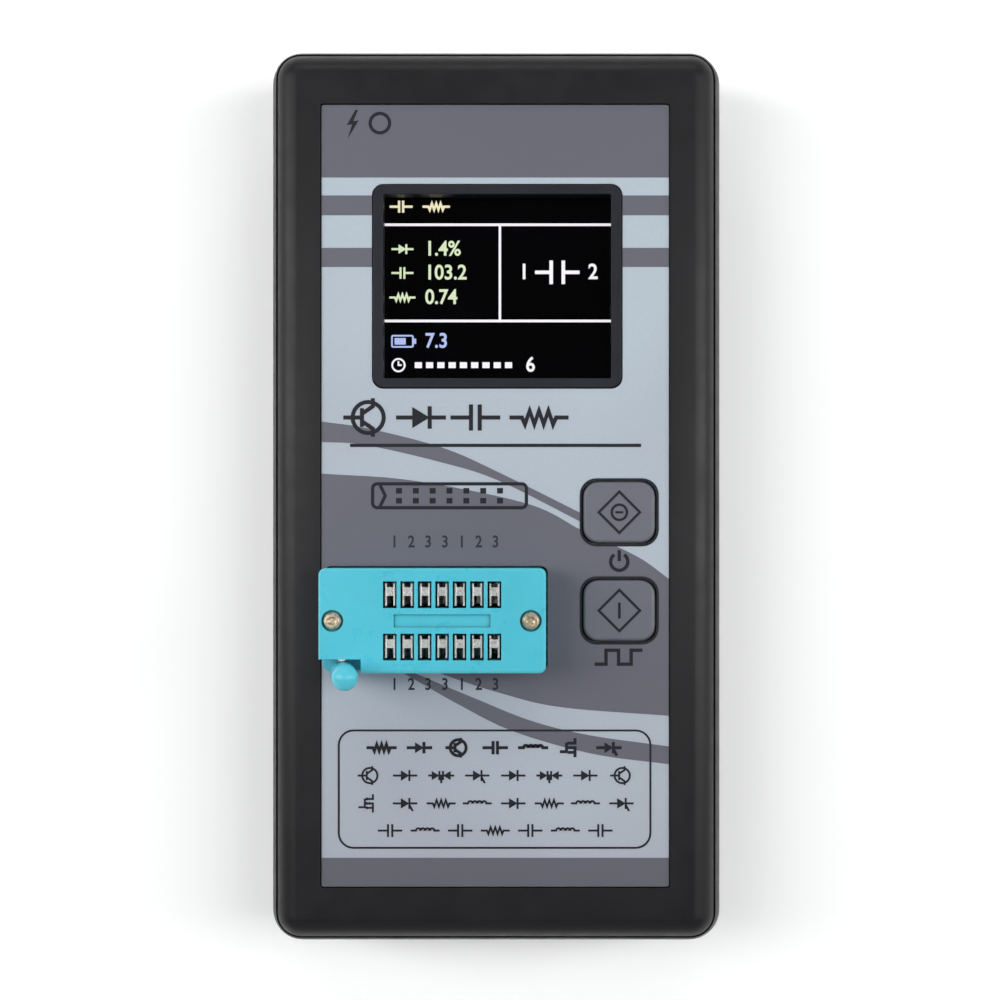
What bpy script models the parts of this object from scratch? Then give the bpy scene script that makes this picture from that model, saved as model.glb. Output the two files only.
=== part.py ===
"""Handheld component tester: case, display, keys, board, battery and lever-operated test socket.

The tester lies on its back. +X is to its right, +Y towards its top end and +Z out of its front panel.
The origin is on the rear face, below the middle of the case. All sizes are in metres.
"""

import math

import bmesh
import bpy
from mathutils import Vector

# Case: two shells that meet at PARTING_Z. A profile's rings are (inset from the outline, height).
CASE_WIDTH = 0.0690
CASE_LENGTH = 0.1365
CASE_HEIGHT = 0.0250
CORNER_RADIUS = 0.0049
WALL = 0.0020
GAP = 0.0003
PARTING_Z = 0.0110
PLATE_UNDERSIDE_Z = 0.0220
FRONT_PROFILE = (
    (0.0, PARTING_Z + GAP),
    (0.0, 0.0165),
    (0.0002, 0.0196),
    (0.0007, 0.0217),
    (0.0011, 0.0225),
    (0.00125, 0.0221),
    (0.0014, 0.0228),
    (0.0018, 0.0235),
    (0.0023, 0.0241),
    (0.0029, 0.02455),
    (0.0036, 0.02488),
    (0.0044, CASE_HEIGHT),
)
REAR_PROFILE = ((0.0, PARTING_Z), (0.0, 0.0026), (0.0003, 0.0013), (0.0012, 0.0003), (0.0025, 0.0))

# Printed film in its recess
FILM_SIZE = (0.0524, 0.1179)
FILM_Z = (0.0244, 0.0247)
RECESS_FLOOR_Z = 0.0241
RECESS_MARGIN = 0.00015

# Display, centred on DISPLAY_AT
DISPLAY_AT = (0.0003, 0.0316)
BEZEL_OUTER = (0.0375, 0.0306)
BEZEL_INNER = (0.0344, 0.02775)
BEZEL_Z = (0.0220, 0.0249)
BEZEL_RADIUS = 0.0017
LENS_Z = (0.0232, 0.0242)
LCD_SIZE = (0.0467, 0.0340)
LCD_RIM = 0.0006
LCD_FRAME_Z = (0.0176, 0.0209)
LCD_GLASS_Z = (0.0187, 0.0212)

# Keys: a flanged cap over a tactile switch
KEY_X = 0.0187
KEY_YS = {"off": -0.0025, "test": -0.0173}
KEY_SIZE = (0.0108, 0.00915)
KEY_RADIUS = 0.0022
KEY_CLEARANCE = 0.00025
KEY_FLANGE = 0.0010
KEY_FLANGE_Z = (0.0219, 0.0227)
KEY_POCKET_TOP_Z = 0.0230
KEY_TOP_Z = 0.0251
SWITCH_SIZE = 0.0062
SWITCH_Z = (0.0173, 0.0208)
STEM_RADIUS = 0.0017
STEM_Z = (0.0199, 0.0216)
STEM_WELL_FLOOR_Z = 0.0193

# Main board and its screws
BOARD_HALF_WIDTH = 0.0312
BOARD_Y = (-0.0326, 0.0583)
BOARD_Z = (0.0154, 0.0170)
BOARD_SCREWS = ((-0.0275, 0.0545), (0.0275, 0.0545), (-0.0275, -0.0294), (0.0275, -0.0294))
BOARD_BOSS_RADIUS = 0.0026
BOARD_SCREW_HEAD = (0.0022, 0.0018)
BOARD_SCREW_RADIUS = 0.0012
BOARD_SCREW_TIP_Z = 0.0205

# Case screws: from the back, through the rear shell into the front shell
CASE_SCREW_AT = (0.0286, 0.0623)
CASE_BOSS_RADIUS = 0.0034
CASE_SCREW_HEAD = (0.0023, 0.0020)
CASE_SCREW_RADIUS = 0.00125
CASE_SCREW_TIP_Z = 0.0175
COUNTERBORE_RADIUS = 0.0026
COUNTERBORE_Z = 0.0055

# Battery, its snap, leads and door
BATTERY_X = (-0.0242, 0.0218)
BATTERY_Y = (-0.06075, -0.03425)
BATTERY_Z = (0.0023, 0.0198)
BATTERY_STUD_LENGTH = 0.0025
BATTERY_STUD_PITCH = 0.0127
SNAP_X = (0.0221, 0.0280)
SNAP_Y = (-0.0578, -0.0372)
SNAP_Z = (0.0045, 0.0175)
LEAD_RADIUS = 0.00065
DOOR_HALF_WIDTH = 0.0249
DOOR_TOP_Y = -0.0333
DOOR_THICKNESS = 0.0020
DOOR_CLEARANCE = 0.0002
TONGUE_Y = (-0.0460, -0.0360)
TONGUE_Z = (0.0008, 0.0015)
TONGUE_REACH = 0.0009
TONGUE_TRAVEL = 0.0115
GRIP_LENGTH = 0.0150
GRIP_WIDTH = 0.0009
GRIP_DEPTH = 0.0005
GRIP_PITCH = 0.0020
GRIP_COUNT = 6
GRIP_Y = -0.0480

# Power jack in the top end
JACK_X = -0.0195
JACK_Z = 0.0100
JACK_BODY = (0.0090, 0.0129, 0.0105)
JACK_FRONT_Y = 0.0659
JACK_COLLAR_RADIUS = 0.0040
JACK_BORE_RADIUS = 0.0031
JACK_PIN_RADIUS = 0.0010
JACK_BORE_DEPTH = 0.0080

# Test socket: two rows of sprung contacts, clamped by a lever
SOCKET_CENTRE = (-0.00892, -0.0185)
SOCKET_SIZE = (0.03315, 0.0153)
SOCKET_BASE_Z = (0.0173, 0.0290)
SOCKET_COVER_Z = (0.0292, 0.0341)
SOCKET_RADIUS = 0.0010
SOCKET_OPENING_MARGIN = 0.00025
PIN_PITCH = 0.00254
PINS_PER_ROW = 7
PIN_CENTRE_X = -0.00747
ROW_OFFSET = 0.00381
WINDOW_SIZE = (0.0020, 0.0039)
TROUGH_SIZE = (0.0182, 0.0041)
TROUGH_FLOOR_Z = 0.0215
CHANNEL_X = (-0.0205, 0.0035)
CHANNEL_HALF_WIDTH = 0.00125
CHANNEL_FLOOR_Z = 0.0257
SLIDER_X = (-0.0199, 0.0015)
SLIDER_HALF_WIDTH = 0.00095
SLIDER_Z = (0.0260, 0.0286)
CONTACT_WIDTH = 0.0015
CONTACT_LENGTH = 0.0033
LEAF_THICKNESS = 0.00025
CONTACT_Z = (0.0222, 0.0334)
CONTACT_TAIL_Z = 0.0173
BRIDGE_Y = (-0.0002, 0.0011)
BRIDGE_DEPTH = 0.0035
BRIDGE_DROP = 0.0003
CONTACT_TAIL_WIDTH = 0.0005
RIVET_XS = {"left": -0.02346, "right": 0.00545}
RIVET_HEAD_RADIUS = 0.00130
RIVET_SHANK_RADIUS = 0.0009
RIVET_RECESS_RADIUS = 0.00160
RIVET_RECESS_Z = 0.0336

# Lever: it leans LEVER_LEAN past upright when open, and swings to the left to close
LEVER_PIVOT = (-0.0222, -0.02625, 0.0314)
LEVER_LEAN = math.radians(8)
LEVER_LENGTH = 0.0099
LEVER_KNOB_RADIUS = 0.0019
LEVER_SHAFT_RADIUS = 0.00075
LEVER_SHAFT_Y = (-0.0256, -0.0203)
LEVER_NOTCH_CORNER = (-0.0193, -0.0241)

ROUND_SEGMENTS = 20
CORNER_SEGMENTS = 5
CASE_CORNER_SEGMENTS = 9
MERGE_DISTANCE = 0.00001

BLACK_ABS = ((0.035, 0.035, 0.038), 0.55, 0.0)
PRINTED_FILM = ((0.45, 0.52, 0.56), 0.45, 0.0)
DARK_PLASTIC = ((0.03, 0.033, 0.04), 0.35, 0.0)
CLEAR = ((0.02, 0.02, 0.025), 0.05, 0.0)
KEY_GREY = ((0.16, 0.165, 0.20), 0.5, 0.0)
SOCKET_CYAN = ((0.095, 0.57, 0.70), 0.3, 0.0)
STEEL = ((0.62, 0.63, 0.64), 0.3, 1.0)
BRASS = ((0.62, 0.50, 0.33), 0.35, 1.0)
SILVER = ((0.80, 0.80, 0.78), 0.25, 1.0)
BOARD_GREEN = ((0.02, 0.18, 0.08), 0.45, 0.0)
EPOXY_BLACK = ((0.02, 0.02, 0.02), 0.6, 0.0)
RIBBON_AMBER = ((0.55, 0.28, 0.06), 0.4, 0.0)
BATTERY_BLUE = ((0.05, 0.10, 0.28), 0.4, 0.0)
LEAD_RED = ((0.6, 0.03, 0.03), 0.4, 0.0)
LEAD_BLACK = ((0.02, 0.02, 0.02), 0.4, 0.0)


def new_collection(name):
    collection = bpy.data.collections.new(name)
    bpy.context.scene.collection.children.link(collection)
    return collection


def clear_scene():
    for item in list(bpy.data.objects):
        bpy.data.objects.remove(item, do_unlink=True)


def paint(item, name, finish):
    colour, roughness, metallic = finish
    material = bpy.data.materials.new(name)
    material.use_nodes = True
    shader = material.node_tree.nodes["Principled BSDF"]
    shader.inputs["Base Color"].default_value = (*colour, 1.0)
    shader.inputs["Roughness"].default_value = roughness
    shader.inputs["Metallic"].default_value = metallic
    item.data.materials.clear()
    item.data.materials.append(material)


def as_part(item, finish):
    """Files a finished sub-part in the object's collection and gives it its material."""
    paint(item, item.name, finish)
    PARTS.objects.link(item)
    return item


def as_cutter(item):
    item.hide_render = True
    item.display_type = "WIRE"
    CUTTERS.objects.link(item)
    return item


def from_bmesh(name, mesh_maker):
    mesh = bpy.data.meshes.new(name)
    bm = bmesh.new()
    mesh_maker(bm)
    bmesh.ops.recalc_face_normals(bm, faces=bm.faces)
    bm.to_mesh(mesh)
    bm.free()
    return bpy.data.objects.new(name, mesh)


def add_box(bm, low, high):
    cube = bmesh.ops.create_cube(bm, size=1.0)
    size = [b - a for a, b in zip(low, high)]
    middle = [(a + b) / 2 for a, b in zip(low, high)]
    bmesh.ops.scale(bm, vec=size, verts=cube["verts"])
    bmesh.ops.translate(bm, vec=middle, verts=cube["verts"])


def block(name, *boxes):
    """One object holding a box for each (low corner, high corner)."""

    def make(bm):
        for low, high in boxes:
            add_box(bm, low, high)

    return from_bmesh(name, make)


def rod(name, radius, start, end, segments=ROUND_SEGMENTS):
    """A cylinder from one point to another."""
    axis = Vector(end) - Vector(start)

    def make(bm):
        bmesh.ops.create_cone(
            bm, cap_ends=True, segments=segments, radius1=radius, radius2=radius, depth=axis.length
        )

    item = from_bmesh(name, make)
    item.location = (Vector(start) + Vector(end)) / 2
    item.rotation_mode = "QUATERNION"
    item.rotation_quaternion = axis.to_track_quat("Z", "Y")
    smooth(item)
    return item


def stack(name, centre, size, radius, rings, segments=CORNER_SEGMENTS):
    """A rounded rectangle that runs from ring to ring, each an (inset, height) of the full outline."""

    def make(bm):
        bmesh.ops.create_grid(bm, x_segments=1, y_segments=1, size=0.5)
        first_inset, first_z = rings[0]
        outline = (size[0] - 2 * first_inset, size[1] - 2 * first_inset, 1.0)
        bmesh.ops.scale(bm, vec=outline, verts=bm.verts)
        bmesh.ops.translate(bm, vec=(*centre, first_z), verts=bm.verts)
        bmesh.ops.bevel(
            bm, geom=bm.verts[:], offset=radius - first_inset, segments=segments,
            profile=0.5, affect="VERTICES",
        )
        moving = bm.faces[:]
        if rings[1][1] < first_z:
            bmesh.ops.reverse_faces(bm, faces=moving)
        for (inset, z), (next_inset, next_z) in zip(rings, rings[1:]):
            rise = (next_z - z) * (1 if rings[1][1] > first_z else -1)
            bmesh.ops.inset_region(
                bm, faces=moving, use_boundary=True, use_even_offset=True,
                thickness=next_inset - inset, depth=rise,
            )
        open_edges = [edge for edge in bm.edges if edge.is_boundary]
        bmesh.ops.edgeloop_fill(bm, edges=open_edges)

    item = from_bmesh(name, make)
    smooth(item)
    return item


def plate(name, centre, size, radius, z_low, z_high):
    return stack(name, centre, size, radius, ((0.0, z_low), (0.0, z_high)))


def turned(name, profile, steps=ROUND_SEGMENTS):
    """A solid turned about its own Z axis. The profile is (radius, height), from the top down."""
    mesh = bpy.data.meshes.new(name)
    edges = [(i, i + 1) for i in range(len(profile) - 1)]
    mesh.from_pydata([(radius, 0.0, z) for radius, z in profile], edges, [])
    item = bpy.data.objects.new(name, mesh)
    screw = item.modifiers.new("turn", "SCREW")
    screw.steps = steps
    screw.render_steps = steps
    screw.use_merge_vertices = True
    screw.merge_threshold = MERGE_DISTANCE
    screw.use_smooth_shade = True
    return item


def smooth(item, angle=math.radians(35)):
    item.data.shade_smooth()
    item.data.set_sharp_from_angle(angle=angle)


def boolean(item, other, operation):
    as_cutter(other)
    step = item.modifiers.new(operation.lower(), "BOOLEAN")
    step.operation = operation
    step.object = other


def cut(item, *others):
    for other in others:
        boolean(item, other, "DIFFERENCE")


def fuse(item, *others):
    for other in others:
        boolean(item, other, "UNION")


def baked_mesh(item):
    """The item's mesh with its modifiers applied, for sharing between copies. The item is removed."""
    CUTTERS.objects.link(item)
    bpy.context.view_layer.update()
    graph = bpy.context.evaluated_depsgraph_get()
    mesh = bpy.data.meshes.new_from_object(item.evaluated_get(graph))
    bpy.data.objects.remove(item)
    return mesh


def copies(mesh, names_and_places, finish):
    for name, place in names_and_places:
        item = bpy.data.objects.new(name, mesh)
        item.location = place
        as_part(item, finish)


def grown(size, margin):
    return tuple(side + 2 * margin for side in size)


def socket_box(name, margin, z_low, z_high, radius):
    return plate(name, SOCKET_CENTRE, grown(SOCKET_SIZE, margin), radius, z_low, z_high)


def corner_places(x, y):
    return [(sx * x, sy * y) for sy in (1, -1) for sx in (-1, 1)]


def case_stack(name, rings):
    outline = (CASE_WIDTH, CASE_LENGTH)
    return stack(name, (0, 0), outline, CORNER_RADIUS, rings, CASE_CORNER_SEGMENTS)


def make_front_shell():
    shell = case_stack("front_shell", FRONT_PROFILE)
    inside = (CASE_WIDTH - 2 * WALL, CASE_LENGTH - 2 * WALL)
    cut(shell, plate("front_cavity", (0, 0), inside, CORNER_RADIUS - WALL, 0.0, PLATE_UNDERSIDE_Z))
    for number, (x, y) in enumerate(corner_places(*CASE_SCREW_AT), 1):
        boss_top = (x, y, PLATE_UNDERSIDE_Z + GAP)
        fuse(shell, rod(f"front_boss_{number}", CASE_BOSS_RADIUS, (x, y, PARTING_Z + GAP), boss_top))
        hole_end = (x, y, CASE_SCREW_TIP_Z + GAP)
        cut(shell, rod(f"front_hole_{number}", CASE_SCREW_RADIUS + GAP, (x, y, 0.0), hole_end))
    for number, (x, y) in enumerate(BOARD_SCREWS, 1):
        boss_foot = (x, y, BOARD_Z[1] + GAP)
        boss_top = (x, y, PLATE_UNDERSIDE_Z + GAP)
        fuse(shell, rod(f"board_boss_{number}", BOARD_BOSS_RADIUS, boss_foot, boss_top))
        hole_end = (x, y, BOARD_SCREW_TIP_Z + GAP)
        cut(shell, rod(f"board_boss_hole_{number}", BOARD_SCREW_RADIUS + GAP, (x, y, 0.0), hole_end))
    recess = grown(FILM_SIZE, RECESS_MARGIN)
    cut(shell, plate("film_recess", (0, 0), recess, 0.0004, RECESS_FLOOR_Z, CASE_HEIGHT + WALL))
    window = grown(BEZEL_OUTER, RECESS_MARGIN)
    cut(shell, plate("display_opening", DISPLAY_AT, window, BEZEL_RADIUS, 0.0200, CASE_HEIGHT))
    cut(shell, socket_box("socket_opening", SOCKET_OPENING_MARGIN, 0.0200, CASE_HEIGHT, SOCKET_RADIUS))
    for name, y in KEY_YS.items():
        opening = grown(KEY_SIZE, KEY_CLEARANCE)
        cut(shell, plate(f"key_{name}_opening", (KEY_X, y), opening, KEY_RADIUS, 0.0200, CASE_HEIGHT))
        pocket = grown(KEY_SIZE, KEY_FLANGE + GAP)
        cut(shell, plate(f"key_{name}_pocket", (KEY_X, y), pocket, KEY_RADIUS, 0.0200, KEY_POCKET_TOP_Z))
    cut(shell, jack_hole("front_jack_hole"))
    as_part(shell, BLACK_ABS)


def jack_hole(name):
    start = (JACK_X, JACK_FRONT_Y - WALL, JACK_Z)
    end = (JACK_X, CASE_LENGTH, JACK_Z)
    return rod(name, JACK_COLLAR_RADIUS + GAP, start, end, 24)


def make_rear_shell():
    shell = case_stack("rear_shell", REAR_PROFILE)
    inside = (CASE_WIDTH - 2 * WALL, CASE_LENGTH - 2 * WALL)
    cut(shell, plate("rear_cavity", (0, 0), inside, CORNER_RADIUS - WALL, WALL, CASE_HEIGHT))
    for number, (x, y) in enumerate(corner_places(*CASE_SCREW_AT), 1):
        boss_top = (x, y, PARTING_Z)
        fuse(shell, rod(f"rear_boss_{number}", CASE_BOSS_RADIUS, (x, y, WALL - GAP), boss_top))
        cut(
            shell,
            rod(f"rear_hole_{number}", CASE_SCREW_RADIUS + GAP, (x, y, WALL), (x, y, CASE_HEIGHT)),
            rod(f"counterbore_{number}", COUNTERBORE_RADIUS, (x, y, -WALL), (x, y, COUNTERBORE_Z)),
        )
    side = DOOR_HALF_WIDTH + DOOR_CLEARANCE
    opening = ((-side, -CASE_LENGTH, -WALL), (side, DOOR_TOP_Y + GAP, DOOR_THICKNESS + GAP))
    groove_side = DOOR_HALF_WIDTH + TONGUE_REACH + GAP
    groove = (
        (-groove_side, TONGUE_Y[0] - TONGUE_TRAVEL, TONGUE_Z[0] - GAP),
        (groove_side, TONGUE_Y[1] + GAP, TONGUE_Z[1] + GAP),
    )
    cut(
        shell,
        block("door_opening", opening),
        block("tongue_groove", groove),
        jack_hole("rear_jack_hole"),
    )
    as_part(shell, BLACK_ABS)


def make_battery_door():
    door = case_stack("battery_door", REAR_PROFILE)
    low = (-DOOR_HALF_WIDTH, -CASE_LENGTH, -WALL)
    high = (DOOR_HALF_WIDTH, DOOR_TOP_Y, DOOR_THICKNESS)
    boolean(door, block("door_outline", (low, high)), "INTERSECT")
    reach = DOOR_HALF_WIDTH + TONGUE_REACH
    tongues = ((-reach, TONGUE_Y[0], TONGUE_Z[0]), (reach, TONGUE_Y[1], TONGUE_Z[1]))
    fuse(door, block("door_tongues", tongues))
    grip_size = (GRIP_LENGTH, GRIP_WIDTH)
    grip_ys = [GRIP_Y + i * GRIP_PITCH for i in range(GRIP_COUNT)]
    grips = [box_at(0, y, grip_size, -WALL, GRIP_DEPTH) for y in grip_ys]
    cut(door, block("door_grips", *grips))
    as_part(door, BLACK_ABS)


def make_film():
    film = plate("overlay_panel", (0, 0), FILM_SIZE, 0.0003, *FILM_Z)
    window = grown(BEZEL_OUTER, RECESS_MARGIN)
    cut(film, plate("film_window", DISPLAY_AT, window, BEZEL_RADIUS, 0.0200, CASE_HEIGHT))
    cut(film, socket_box("film_socket_hole", SOCKET_OPENING_MARGIN, 0.0200, CASE_HEIGHT, SOCKET_RADIUS))
    for name, y in KEY_YS.items():
        hole = grown(KEY_SIZE, KEY_CLEARANCE)
        cut(film, plate(f"film_{name}_hole", (KEY_X, y), hole, KEY_RADIUS, 0.0200, CASE_HEIGHT))
    as_part(film, PRINTED_FILM)


def make_display():
    bezel = plate("display_bezel", DISPLAY_AT, BEZEL_OUTER, BEZEL_RADIUS, *BEZEL_Z)
    cut(bezel, plate("bezel_hole", DISPLAY_AT, BEZEL_INNER, 0.0003, 0.0200, 0.0300))
    as_part(bezel, DARK_PLASTIC)

    lens = plate("display_lens", DISPLAY_AT, grown(BEZEL_INNER, -RECESS_MARGIN), 0.0003, *LENS_Z)
    as_part(lens, CLEAR)

    frame = plate("lcd_frame", DISPLAY_AT, LCD_SIZE, 0.0008, *LCD_FRAME_Z)
    pocket = grown(LCD_SIZE, -LCD_RIM)
    pocket_floor = LCD_FRAME_Z[0] + LCD_RIM
    cut(frame, plate("lcd_pocket", DISPLAY_AT, pocket, 0.0005, pocket_floor, CASE_HEIGHT))
    as_part(frame, STEEL)

    glass = plate("lcd_glass", DISPLAY_AT, grown(pocket, -GAP), 0.0005, *LCD_GLASS_Z)
    as_part(glass, CLEAR)

    make_ribbon()


def make_ribbon():
    """The display's flexible tail: from the frame's right end, in an S-bend down to the board."""
    start_x = DISPLAY_AT[0] + LCD_SIZE[0] / 2 + GAP
    end_x = start_x + 0.0045
    half_width = 0.0080
    thickness = 0.0002
    top_z = LCD_FRAME_Z[1] - 0.0008
    drop = top_z - BOARD_Z[1] - GAP - thickness
    segments = 10

    def make(bm):
        bmesh.ops.create_grid(bm, x_segments=segments, y_segments=1, size=0.5)
        for vert in bm.verts:
            along = vert.co.x + 0.5
            fall = (1 - math.cos(math.pi * along)) / 2
            x = start_x + along * (end_x - start_x)
            y = DISPLAY_AT[1] + vert.co.y * 2 * half_width
            vert.co = (x, y, top_z - fall * drop)

    ribbon = from_bmesh("lcd_ribbon", make)
    solidify = ribbon.modifiers.new("thickness", "SOLIDIFY")
    solidify.thickness = thickness
    solidify.offset = -1
    smooth(ribbon)
    as_part(ribbon, RIBBON_AMBER)


def make_keys():
    for name, y in KEY_YS.items():
        cap = stack(
            f"key_{name}", (KEY_X, y), KEY_SIZE, KEY_RADIUS,
            ((0.0, KEY_FLANGE_Z[0]), (0.0, KEY_TOP_Z - 0.0003), (0.0003, KEY_TOP_Z)),
        )
        flange_size = grown(KEY_SIZE, KEY_FLANGE)
        fuse(cap, plate(f"key_{name}_flange", (KEY_X, y), flange_size, KEY_RADIUS, *KEY_FLANGE_Z))
        as_part(cap, KEY_GREY)

        half = SWITCH_SIZE / 2
        low = (KEY_X - half, y - half, SWITCH_Z[0])
        high = (KEY_X + half, y + half, SWITCH_Z[1])
        body = block(f"switch_{name}_body", (low, high))
        well_top = (KEY_X, y, CASE_HEIGHT)
        cut(body, rod(f"switch_{name}_well", STEM_RADIUS + GAP, (KEY_X, y, STEM_WELL_FLOOR_Z), well_top))
        as_part(body, EPOXY_BLACK)

        stem = rod(f"switch_{name}_stem", STEM_RADIUS, (KEY_X, y, STEM_Z[0]), (KEY_X, y, STEM_Z[1]))
        as_part(stem, DARK_PLASTIC)


def make_board():
    centre_y = sum(BOARD_Y) / 2
    size = (2 * BOARD_HALF_WIDTH, BOARD_Y[1] - BOARD_Y[0])
    board = plate("main_board", (0, centre_y), size, 0.0010, *BOARD_Z)
    for number, (x, y) in enumerate(BOARD_SCREWS, 1):
        ends = ((x, y, 0.0), (x, y, CASE_HEIGHT))
        cut(board, rod(f"board_hole_{number}", BOARD_SCREW_RADIUS + GAP, *ends, 16))
    as_part(board, BOARD_GREEN)

    under = BOARD_Z[0] - GAP
    chip = block("microcontroller", ((-0.0225, -0.0016, under - 0.0036), (0.0125, 0.0056, under)))
    cut(chip, rod("chip_notch", 0.0012, (-0.0225, 0.0020, 0.0), (-0.0225, 0.0020, under - 0.0026), 12))
    as_part(chip, EPOXY_BLACK)

    crystal = plate("crystal", (0.0040, 0.0120), (0.0110, 0.0045), 0.0022, under - 0.0035, under)
    as_part(crystal, STEEL)

    regulator = block("voltage_regulator", ((-0.0060, 0.0440, under - 0.0018), (0.0010, 0.0480, under)))
    tab = ((-0.0045, 0.0478, under - 0.0006), (-0.0005, 0.0500, under))
    fuse(regulator, block("regulator_tab", tab))
    as_part(regulator, EPOXY_BLACK)

    can = turned(
        "smoothing_capacitor",
        (
            (0.0, under),
            (0.0025, under),
            (0.0025, under - 0.0006),
            (0.0022, under - 0.0010),
            (0.0025, under - 0.0014),
            (0.0025, under - 0.0072),
            (0.0, under - 0.0072),
        ),
        16,
    )
    can_mesh = baked_mesh(can)
    places = [(f"smoothing_capacitor_{i}", (x, 0.0400, 0)) for i, x in ((1, 0.0120), (2, 0.0200))]
    copies(can_mesh, places, SILVER)


def make_jack():
    width, depth, height = JACK_BODY
    top = BOARD_Z[0] - GAP
    low = (JACK_X - width / 2, JACK_FRONT_Y - depth, top - height)
    high = (JACK_X + width / 2, JACK_FRONT_Y, top)
    jack = block("dc_jack", (low, high))
    mouth_y = JACK_FRONT_Y + 0.0020
    bore_end_y = JACK_FRONT_Y - JACK_BORE_DEPTH

    def along(start_y, end_y):
        return (JACK_X, start_y, JACK_Z), (JACK_X, end_y, JACK_Z)

    fuse(jack, rod("jack_collar", JACK_COLLAR_RADIUS, *along(JACK_FRONT_Y - WALL, mouth_y)))
    cut(jack, rod("jack_bore", JACK_BORE_RADIUS, *along(bore_end_y, mouth_y + WALL)))
    fuse(jack, rod("jack_pin", JACK_PIN_RADIUS, *along(bore_end_y - WALL / 2, JACK_FRONT_Y), 10))
    as_part(jack, EPOXY_BLACK)


def make_battery():
    battery = block("battery_9v", tuple(zip(BATTERY_X, BATTERY_Y, BATTERY_Z)))
    bevel = battery.modifiers.new("round_edges", "BEVEL")
    bevel.width = 0.0015
    bevel.segments = 2
    middle_y = sum(BATTERY_Y) / 2
    middle_z = (SNAP_Z[0] + SNAP_Z[1]) / 2
    snap = block("battery_snap", tuple(zip(SNAP_X, SNAP_Y, SNAP_Z)))
    for side, radius in ((-1, 0.0029), (1, 0.0040)):
        y = middle_y + side * BATTERY_STUD_PITCH / 2
        root = (BATTERY_X[1] - WALL, y, middle_z)
        tip = (BATTERY_X[1] + BATTERY_STUD_LENGTH, y, middle_z)
        fuse(battery, rod(f"stud_{radius:.4f}", radius, root, tip, 16))
        socket_end = (tip[0] + GAP, y, middle_z)
        cut(snap, rod(f"stud_socket_{radius:.4f}", radius + GAP, root, socket_end, 16))
    as_part(battery, BATTERY_BLUE)
    as_part(snap, LEAD_BLACK)


def bezier(p0, p1, p2, p3, count):
    points = []
    for index in range(count):
        t = index / (count - 1)
        weights = ((1 - t) ** 3, 3 * t * (1 - t) ** 2, 3 * t * t * (1 - t), t**3)
        points.append(sum((w * Vector(p) for w, p in zip(weights, (p0, p1, p2, p3))), Vector()))
    return points


def make_lead(name, finish, *control_points):
    curve = bpy.data.curves.new(name, "CURVE")
    curve.dimensions = "3D"
    curve.bevel_depth = LEAD_RADIUS
    curve.bevel_resolution = 2
    curve.use_fill_caps = True
    points = bezier(*control_points, 14)
    spline = curve.splines.new("POLY")
    spline.points.add(len(points) - 1)
    for slot, point in zip(spline.points, points):
        slot.co = (*point, 1.0)
    as_part(bpy.data.objects.new(name, curve), finish)


def make_leads():
    start_x = SNAP_X[1] + GAP + LEAD_RADIUS
    make_lead(
        "battery_lead_red",
        LEAD_RED,
        (start_x, -0.0440, 0.0130),
        (0.0325, -0.0410, 0.0130),
        (0.0295, -0.0340, 0.0100),
        (0.0215, -0.0300, 0.0143),
    )
    make_lead(
        "battery_lead_black",
        LEAD_BLACK,
        (start_x, -0.0490, 0.0110),
        (0.0325, -0.0450, 0.0085),
        (0.0320, -0.0340, 0.0060),
        (0.0170, -0.0300, 0.0143),
    )


def screw_mesh(name, head, shank_radius, shank_length):
    """A pan-head screw that points up, with the underside of its head at height 0."""
    head_radius, head_height = head
    screw = turned(
        name,
        (
            (0.0, shank_length),
            (shank_radius * 0.6, shank_length),
            (shank_radius, shank_length - shank_radius),
            (shank_radius, 0.0),
            (head_radius, 0.0),
            (head_radius, -head_height * 0.6),
            (head_radius * 0.8, -head_height),
            (0.0, -head_height),
        ),
        16,
    )
    reach = head_radius * 0.6
    slot = head_radius * 0.14
    floor = -head_height * 0.35
    for number, (x, y) in enumerate(((reach, slot), (slot, reach)), 1):
        cross = block(f"{name}_recess_{number}", ((-x, -y, -2 * head_height), (x, y, floor)))
        cut(screw, cross)
    return baked_mesh(screw)


def make_screws():
    head_z = COUNTERBORE_Z - GAP
    length = CASE_SCREW_TIP_Z - head_z
    case_screw = screw_mesh("case_screw", CASE_SCREW_HEAD, CASE_SCREW_RADIUS, length)
    places = [(x, y, head_z) for x, y in corner_places(*CASE_SCREW_AT)]
    copies(case_screw, [(f"case_screw_{i}", place) for i, place in enumerate(places, 1)], STEEL)

    head_z = BOARD_Z[0] - GAP
    length = BOARD_SCREW_TIP_Z - head_z
    board_screw = screw_mesh("board_screw", BOARD_SCREW_HEAD, BOARD_SCREW_RADIUS, length)
    places = [(x, y, head_z) for x, y in BOARD_SCREWS]
    copies(board_screw, [(f"board_screw_{i}", place) for i, place in enumerate(places, 1)], STEEL)


def pin_xs():
    middle = (PINS_PER_ROW - 1) / 2
    return [PIN_CENTRE_X + (i - middle) * PIN_PITCH for i in range(PINS_PER_ROW)]


def row_ys():
    return {"a": SOCKET_CENTRE[1] + ROW_OFFSET, "b": SOCKET_CENTRE[1] - ROW_OFFSET}


def box_at(x, y, size, z_low, z_high):
    low = (x - size[0] / 2, y - size[1] / 2, z_low)
    high = (x + size[0] / 2, y + size[1] / 2, z_high)
    return low, high


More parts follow.
